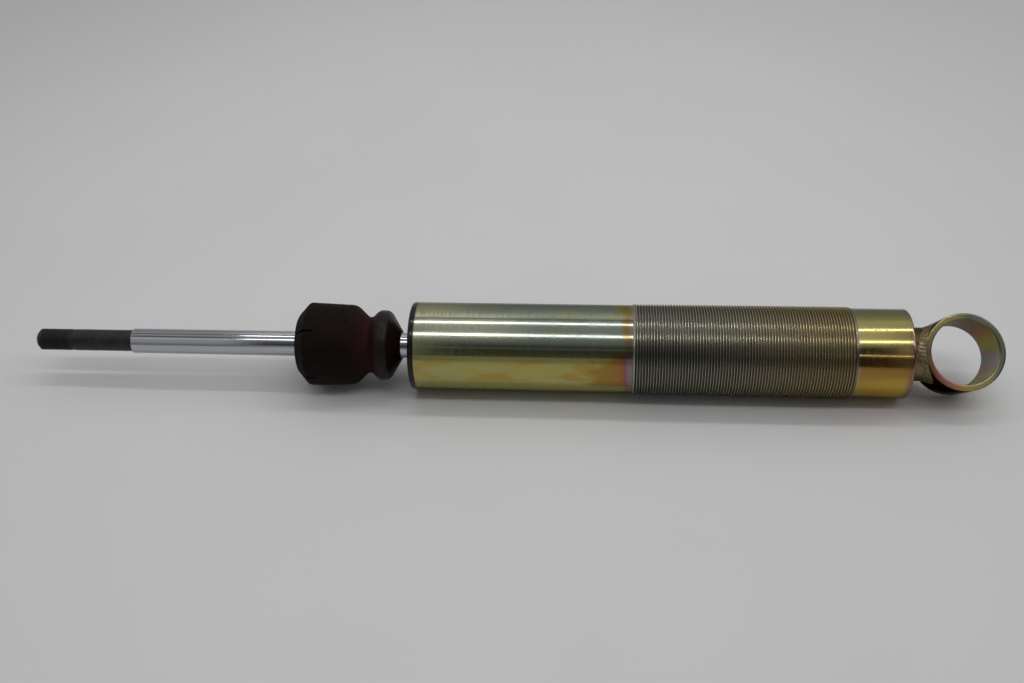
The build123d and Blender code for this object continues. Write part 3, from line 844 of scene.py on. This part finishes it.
def make_weld():
    """A rippled, grainy bead along the saddle where the neck meets the eye."""
    rings = []
    for step in range(WELD_STEPS):
        turn = 2 * math.pi * step / WELD_STEPS
        out = eye_axis * math.cos(turn) + eye_up * math.sin(turn)
        side = (EYE_WIDTH / 2 + WELD_SIDE) / max(abs(math.cos(turn)), 0.01)
        top_r = min(NECK_R + WELD_RISE, side)
        toe = Vector((ring_face(turn, NECK_R) - WELD_REACH, NECK_R))
        top = Vector((ring_face(turn, top_r), top_r))
        swell = Vector((top.y - toe.y, toe.x - top.x)).normalized()
        swell = swell if swell.y > 0 else -swell
        ring = [Vector((toe.x, NECK_R - WELD_SINK))]
        for spot in range(WELD_SECTION + 1):
            share = spot / WELD_SECTION
            place = toe.lerp(top, share)
            solid = out * place.y + Vector((place.x, 0, 0))
            height = WELD_RIPPLE_HEIGHT * math.cos(turn * WELD_RIPPLES + WELD_RIPPLE_SLANT * share)
            height += uneven(solid, WELD_GRAIN)
            ring.append(place + swell * height * min(1, 6 * share, 6 * (1 - share)))
        ring.append(Vector((top.x + WELD_SINK, top.y)))
        ring.append(Vector((ring_face(turn, NECK_R) + WELD_SINK, NECK_R - WELD_SINK)))
        rings.append([out * p.y + Vector((p.x, 0, 0)) for p in ring])
    columns = len(rings[0])
    points = np.array([tuple(p) for ring in rings for p in ring])
    faces = []
    for step in range(WELD_STEPS):
        row, ahead = step * columns, (step + 1) % WELD_STEPS * columns
        for spot in range(columns):
            beside = (spot + 1) % columns
            faces.append((row + spot, ahead + spot, ahead + beside, row + beside))
    return new_piece("weld_bead", points, faces, "tube", "weld", "eye_weld")


# Bump stop: its outline from the small tip, as distance from the tip, radius and rounding, in millimetres
STOP_OUTLINE = (
    (0.0, 7.3),
    (0.0, 8.4, 0.5),
    (6.7, 19.6, 4.0),
    (12.2, 19.6, 4.0),
    (17.4, 14.6, 3.0),
    (25.6, 22.3, 7.0),
    (51.0, 23.35, 2.0),
    (57.0, 16.7, 1.2),
    (57.0, 7.3, 0.5),
    (0.0, 7.3),
)
STOP_STEP = 0.7 * MM
STOP_COLUMNS = 180
STOP_BODY_R = 22.0 * MM
STOP_BORE_WALL = 0.8 * MM
# Lumps of the foam's skin: cycles per metre and height
STOP_LUMPS = ((60, 0.22 * MM), (260, 0.12 * MM), (900, 0.05 * MM))
STOP_SHRINK = 0.15 * MM
VENTS = 5
# First vent, in degrees from +Y towards +Z
VENT_START = 197.0
VENT_LENGTH = 11.0 * MM
VENT_HALF = 0.4 * MM
VENT_DEPTH = 1.7 * MM
VENT_INNER_R = 12.0 * MM
# Columns of the mesh beside each vent, and how far out its floor reaches, in halves of its width
VENT_COLUMNS = (-1.4, -1.0, 1.0, 1.4)
VENT_REACH = 1.2


def subdivided(outline, step):
    """The same outline with no span longer than step."""
    points = [outline[0]]
    for a, b in zip(outline, outline[1:]):
        parts = max(1, math.ceil(math.dist(a, b) / step))
        step_x, step_r = (b[0] - a[0]) / parts, (b[1] - a[1]) / parts
        points += [(a[0] + step_x * k, a[1] + step_r * k) for k in range(1, parts + 1)]
    return points


def make_stop():
    """The bump stop, uneven as moulded foam is, with thin vents cut across its base."""
    tip_x, base_x = stop_high.x, stop_low.x
    corners = [(tip_x - p[0] * MM, *(v * MM for v in p[1:])) for p in STOP_OUTLINE]
    outline = subdivided(rounded(corners, 6), STOP_STEP)
    turn = 2 * math.pi
    vents = [math.radians(VENT_START + 360 * k / VENTS) for k in range(VENTS)]
    angles = list(np.linspace(0, turn, STOP_COLUMNS + 1)[:-1])
    gap = VENT_HALF / STOP_BODY_R
    for vent in vents:
        angles += [(vent + gap * share) % turn for share in VENT_COLUMNS]
    angles = np.array(sorted(angles) + [turn])
    x = np.tile(np.array(outline)[:, 0][:, None], (1, len(angles)))
    r = np.tile(np.array(outline)[:, 1][:, None], (1, len(angles)))
    outside = r > rod_r + STOP_BORE_WALL
    for (row, column), radius in np.ndenumerate(r):
        if outside[row, column]:
            angle = angles[column] % turn
            spot = Vector((x[row, column], radius * math.cos(angle), radius * math.sin(angle)))
            r[row, column] += uneven(spot, STOP_LUMPS) - STOP_SHRINK
            off = min(abs((angle - vent + math.pi) % turn - math.pi) for vent in vents)
            cut = off < gap * VENT_REACH and x[row, column] < base_x + VENT_LENGTH
            if cut and radius > VENT_INNER_R:
                r[row, column] -= VENT_DEPTH
    rows = [np.column_stack((x[k], r[k])) for k in range(len(outline))]
    stop = new_piece("foam_stop", *skin_rows(rows, angles), "stop", "stop_foam", "bump_stop")
    return stop


make_tube()
make_rod()
make_cap()
make_eye()
make_weld()
make_stop()

# Stage: a pale floor that the thread and the eye's rim rest on, with a painted pool of light that fades to
# painted shade towards its far corners
FLOOR_HALF = 6.0
FLOOR_COLOUR = (0.715, 0.715, 0.715)
# Painted falloff of the floor's colour by its distance from the painted pool of light, in shares of the
# pool's reach
PAINTED_FLOOR_FALLOFF = ((0.0, 1.0), (0.35, 0.99), (0.65, 0.94), (0.9, 0.86), (1.2, 0.78), (2.2, 0.72), (4.5, 0.70))
PAINTED_LIGHT_POOL = (-0.31, 0.18)
PAINTED_POOL_REACH = (0.50, 0.60)


def make_floor():
    mesh = bpy.data.meshes.new("floor")
    signs = ((-1, -1), (1, -1), (1, 1), (-1, 1))
    mesh.from_pydata([(FLOOR_HALF * x, FLOOR_HALF * y, floor_z) for x, y in signs], [], [(0, 1, 2, 3)])
    floor = bpy.data.objects.new("floor", mesh)
    bpy.context.scene.collection.objects.link(floor)
    s = Shader("floor")
    across = s.over(s.minus(s.x, PAINTED_LIGHT_POOL[0]), PAINTED_POOL_REACH[0])
    away = s.over(s.minus(s.y, PAINTED_LIGHT_POOL[1]), PAINTED_POOL_REACH[1])
    reach = s.length(across, away)
    # Painted light: the floor is brightest at the pool's centre and falls off into painted shade
    tint = s.gradient(reach, [(at, tuple(c * level for c in FLOOR_COLOUR)) for at, level in PAINTED_FLOOR_FALLOFF])
    haze = s.ease(s.noise(s.place, 7.0, 3.0), 0.35, 0.65, 0.0, 0.06)
    tint = s.mix(haze, tint, (0.5, 0.5, 0.5))
    mesh.materials.append(s.finish(tint, 0.7))


# Light: a white tent with a dark mouth at the front, two long lamps in its roof and a thin one in its mouth
LAMPS = (
    # name, angle from the front horizon, distance, ends along X, angular width, radiance
    ("roof_front", 68.6, 2.0, (-1.05, 3.0), 5.4, 4.3),
    ("roof_back", 103.0, 2.0, (-1.05, 3.0), 4.0, 6.0),
    ("mouth", 31.4, 1.0, (0.10, 0.75), 0.8, 6.0),
)


def make_lamps():
    for name, angle, distance, ends, spread, radiance in LAMPS:
        turn = math.radians(angle)
        back = Vector((0, -math.cos(turn), math.sin(turn)))
        lamp = bpy.data.lights.new(name, "AREA")
        lamp.shape = "RECTANGLE"
        lamp.size = ends[1] - ends[0]
        lamp.size_y = 2 * distance * math.tan(math.radians(spread / 2))
        lamp.energy = radiance * math.pi * lamp.size * lamp.size_y
        holder = bpy.data.objects.new(name, lamp)
        holder.location = Vector((sum(ends) / 2, 0, 0)) + back * distance
        across = Vector((1, 0, 0))
        holder.rotation_euler = Matrix((across, back.cross(across), back)).transposed().to_euler()
        bpy.context.scene.collection.objects.link(holder)


# Brightness of the tent by the angle from the front horizon over the roof to the back, in degrees
ROOF = (
    (78, 0.40),
    (96, 0.42),
    (112, 0.45),
    (115, 0.20),
    (118, 0.20),
    (121, 0.70),
    (128, 0.73),
    (138, 0.55),
    (150, 0.42),
    (180, 0.36),
    (200, 0.36),
)
TENT_MIDDLE = (
    (-20, 0.34),
    (-3, 0.27),
    (11, 0.27),
    (13, 0.05),
    (17, 0.055),
    (18.5, 0.10),
    (20, 0.055),
    (31.5, 0.05),
    (33.2, 0.15),
    (35.4, 0.15),
    (37, 0.05),
    (40, 0.06),
    (45, 0.14),
    (50, 0.23),
    (56, 0.26),
    (62, 0.30),
    *ROOF,
)
TENT_LEFT = (
    (-20, 0.34),
    (-8, 0.20),
    (4, 0.18),
    (13, 0.24),
    (22, 0.32),
    (31, 0.34),
    (41, 0.41),
    (50, 0.34),
    (60, 0.57),
    (69, 0.47),
    (77, 0.11),
    (82, 0.12),
    (89, 0.26),
    (99, 0.48),
    (106, 0.13),
    (112, 0.13),
    (120, 0.40),
    (136, 0.32),
    (151, 0.26),
    (171, 0.36),
    (200, 0.36),
)
TENT_RIGHT = (
    (-20, 0.34),
    (-6, 0.24),
    (8, 0.17),
    (24, 0.18),
    (29, 0.22),
    (34, 0.34),
    (38, 0.27),
    (43, 0.44),
    (49, 0.48),
    (54, 0.32),
    (58, 0.30),
    (65, 0.28),
    (78, 0.36),
    (96, 0.40),
    (110, 0.55),
    (121, 0.72),
    (128, 0.73),
    (140, 0.50),
    (160, 0.38),
    (200, 0.36),
)
TENT_FAR = (
    (-20, 0.20),
    (0, 0.04),
    (50, 0.04),
    (62, 0.45),
    (70, 0.75),
    (110, 0.75),
    (130, 0.68),
    (150, 0.45),
    (200, 0.40),
)
# Where the middle's table fades into the others, by the X part of the direction
LEFT_EDGE = (-0.26, -0.36)
RIGHT_EDGE = (0.10, 0.24)
FAR_LEFT_EDGE = (-0.50, -0.60)
FAR_RIGHT_EDGE = (0.40, 0.50)
# The angle's seam lies straight down
TURN_LOW = -90.0
TURN_HIGH = 270.0
BACKDROP = (0.31, 0.31, 0.315)


def make_world():
    world = bpy.data.worlds.new("tent")
    bpy.context.scene.world = world
    world.use_nodes = True
    w = Nodes(world.node_tree)
    split = w.node("ShaderNodeSeparateXYZ")
    w.link(w.node("ShaderNodeTexCoord").outputs["Generated"], split.inputs[0])
    x, y, z = split.outputs
    angle = w.math("DEGREES", w.math("ARCTAN2", z, w.times(y, -1.0)))
    angle = w.math("WRAP", angle, TURN_HIGH, TURN_LOW)

    def tent(levels):
        return w.gradient(angle, [(degrees, (level, level, level * 1.01)) for degrees, level in levels])

    light = w.mix(w.ease(x, *LEFT_EDGE), tent(TENT_MIDDLE), tent(TENT_LEFT))
    light = w.mix(w.ease(x, *RIGHT_EDGE), light, tent(TENT_RIGHT))
    far = tent(TENT_FAR)
    light = w.mix(w.ease(x, *FAR_LEFT_EDGE), light, far)
    light = w.mix(w.ease(x, *FAR_RIGHT_EDGE), light, far)
    seen = w.mix(w.node("ShaderNodeLightPath").outputs["Is Camera Ray"], light, BACKDROP)
    background = w.tree.nodes["Background"]
    w.link(seen, background.inputs["Color"])
    w.link(1.0, background.inputs["Strength"])


# Camera, fitted to the photograph: 1100 pixels of focal length in a frame 1024 pixels wide
CAMERA_PLACE = Vector((-0.19714, -0.48369, 0.36975))
CAMERA_TURN = (52.993, 1.676, 3.845)
FOCAL_PIXELS = 1100.0
FRAME_PIXELS = 1024.0
SENSOR = 36.0


def make_camera():
    data = bpy.data.cameras.new("camera")
    data.sensor_width = SENSOR
    data.lens = SENSOR * FOCAL_PIXELS / FRAME_PIXELS
    data.clip_start = 0.01
    camera = bpy.data.objects.new("camera", data)
    camera.location = CAMERA_PLACE
    camera.rotation_euler = Euler([math.radians(a) for a in CAMERA_TURN])
    bpy.context.scene.collection.objects.link(camera)
    bpy.context.scene.camera = camera


make_floor()
make_lamps()
make_world()
make_camera()
bpy.context.scene.view_settings.view_transform = "Standard"
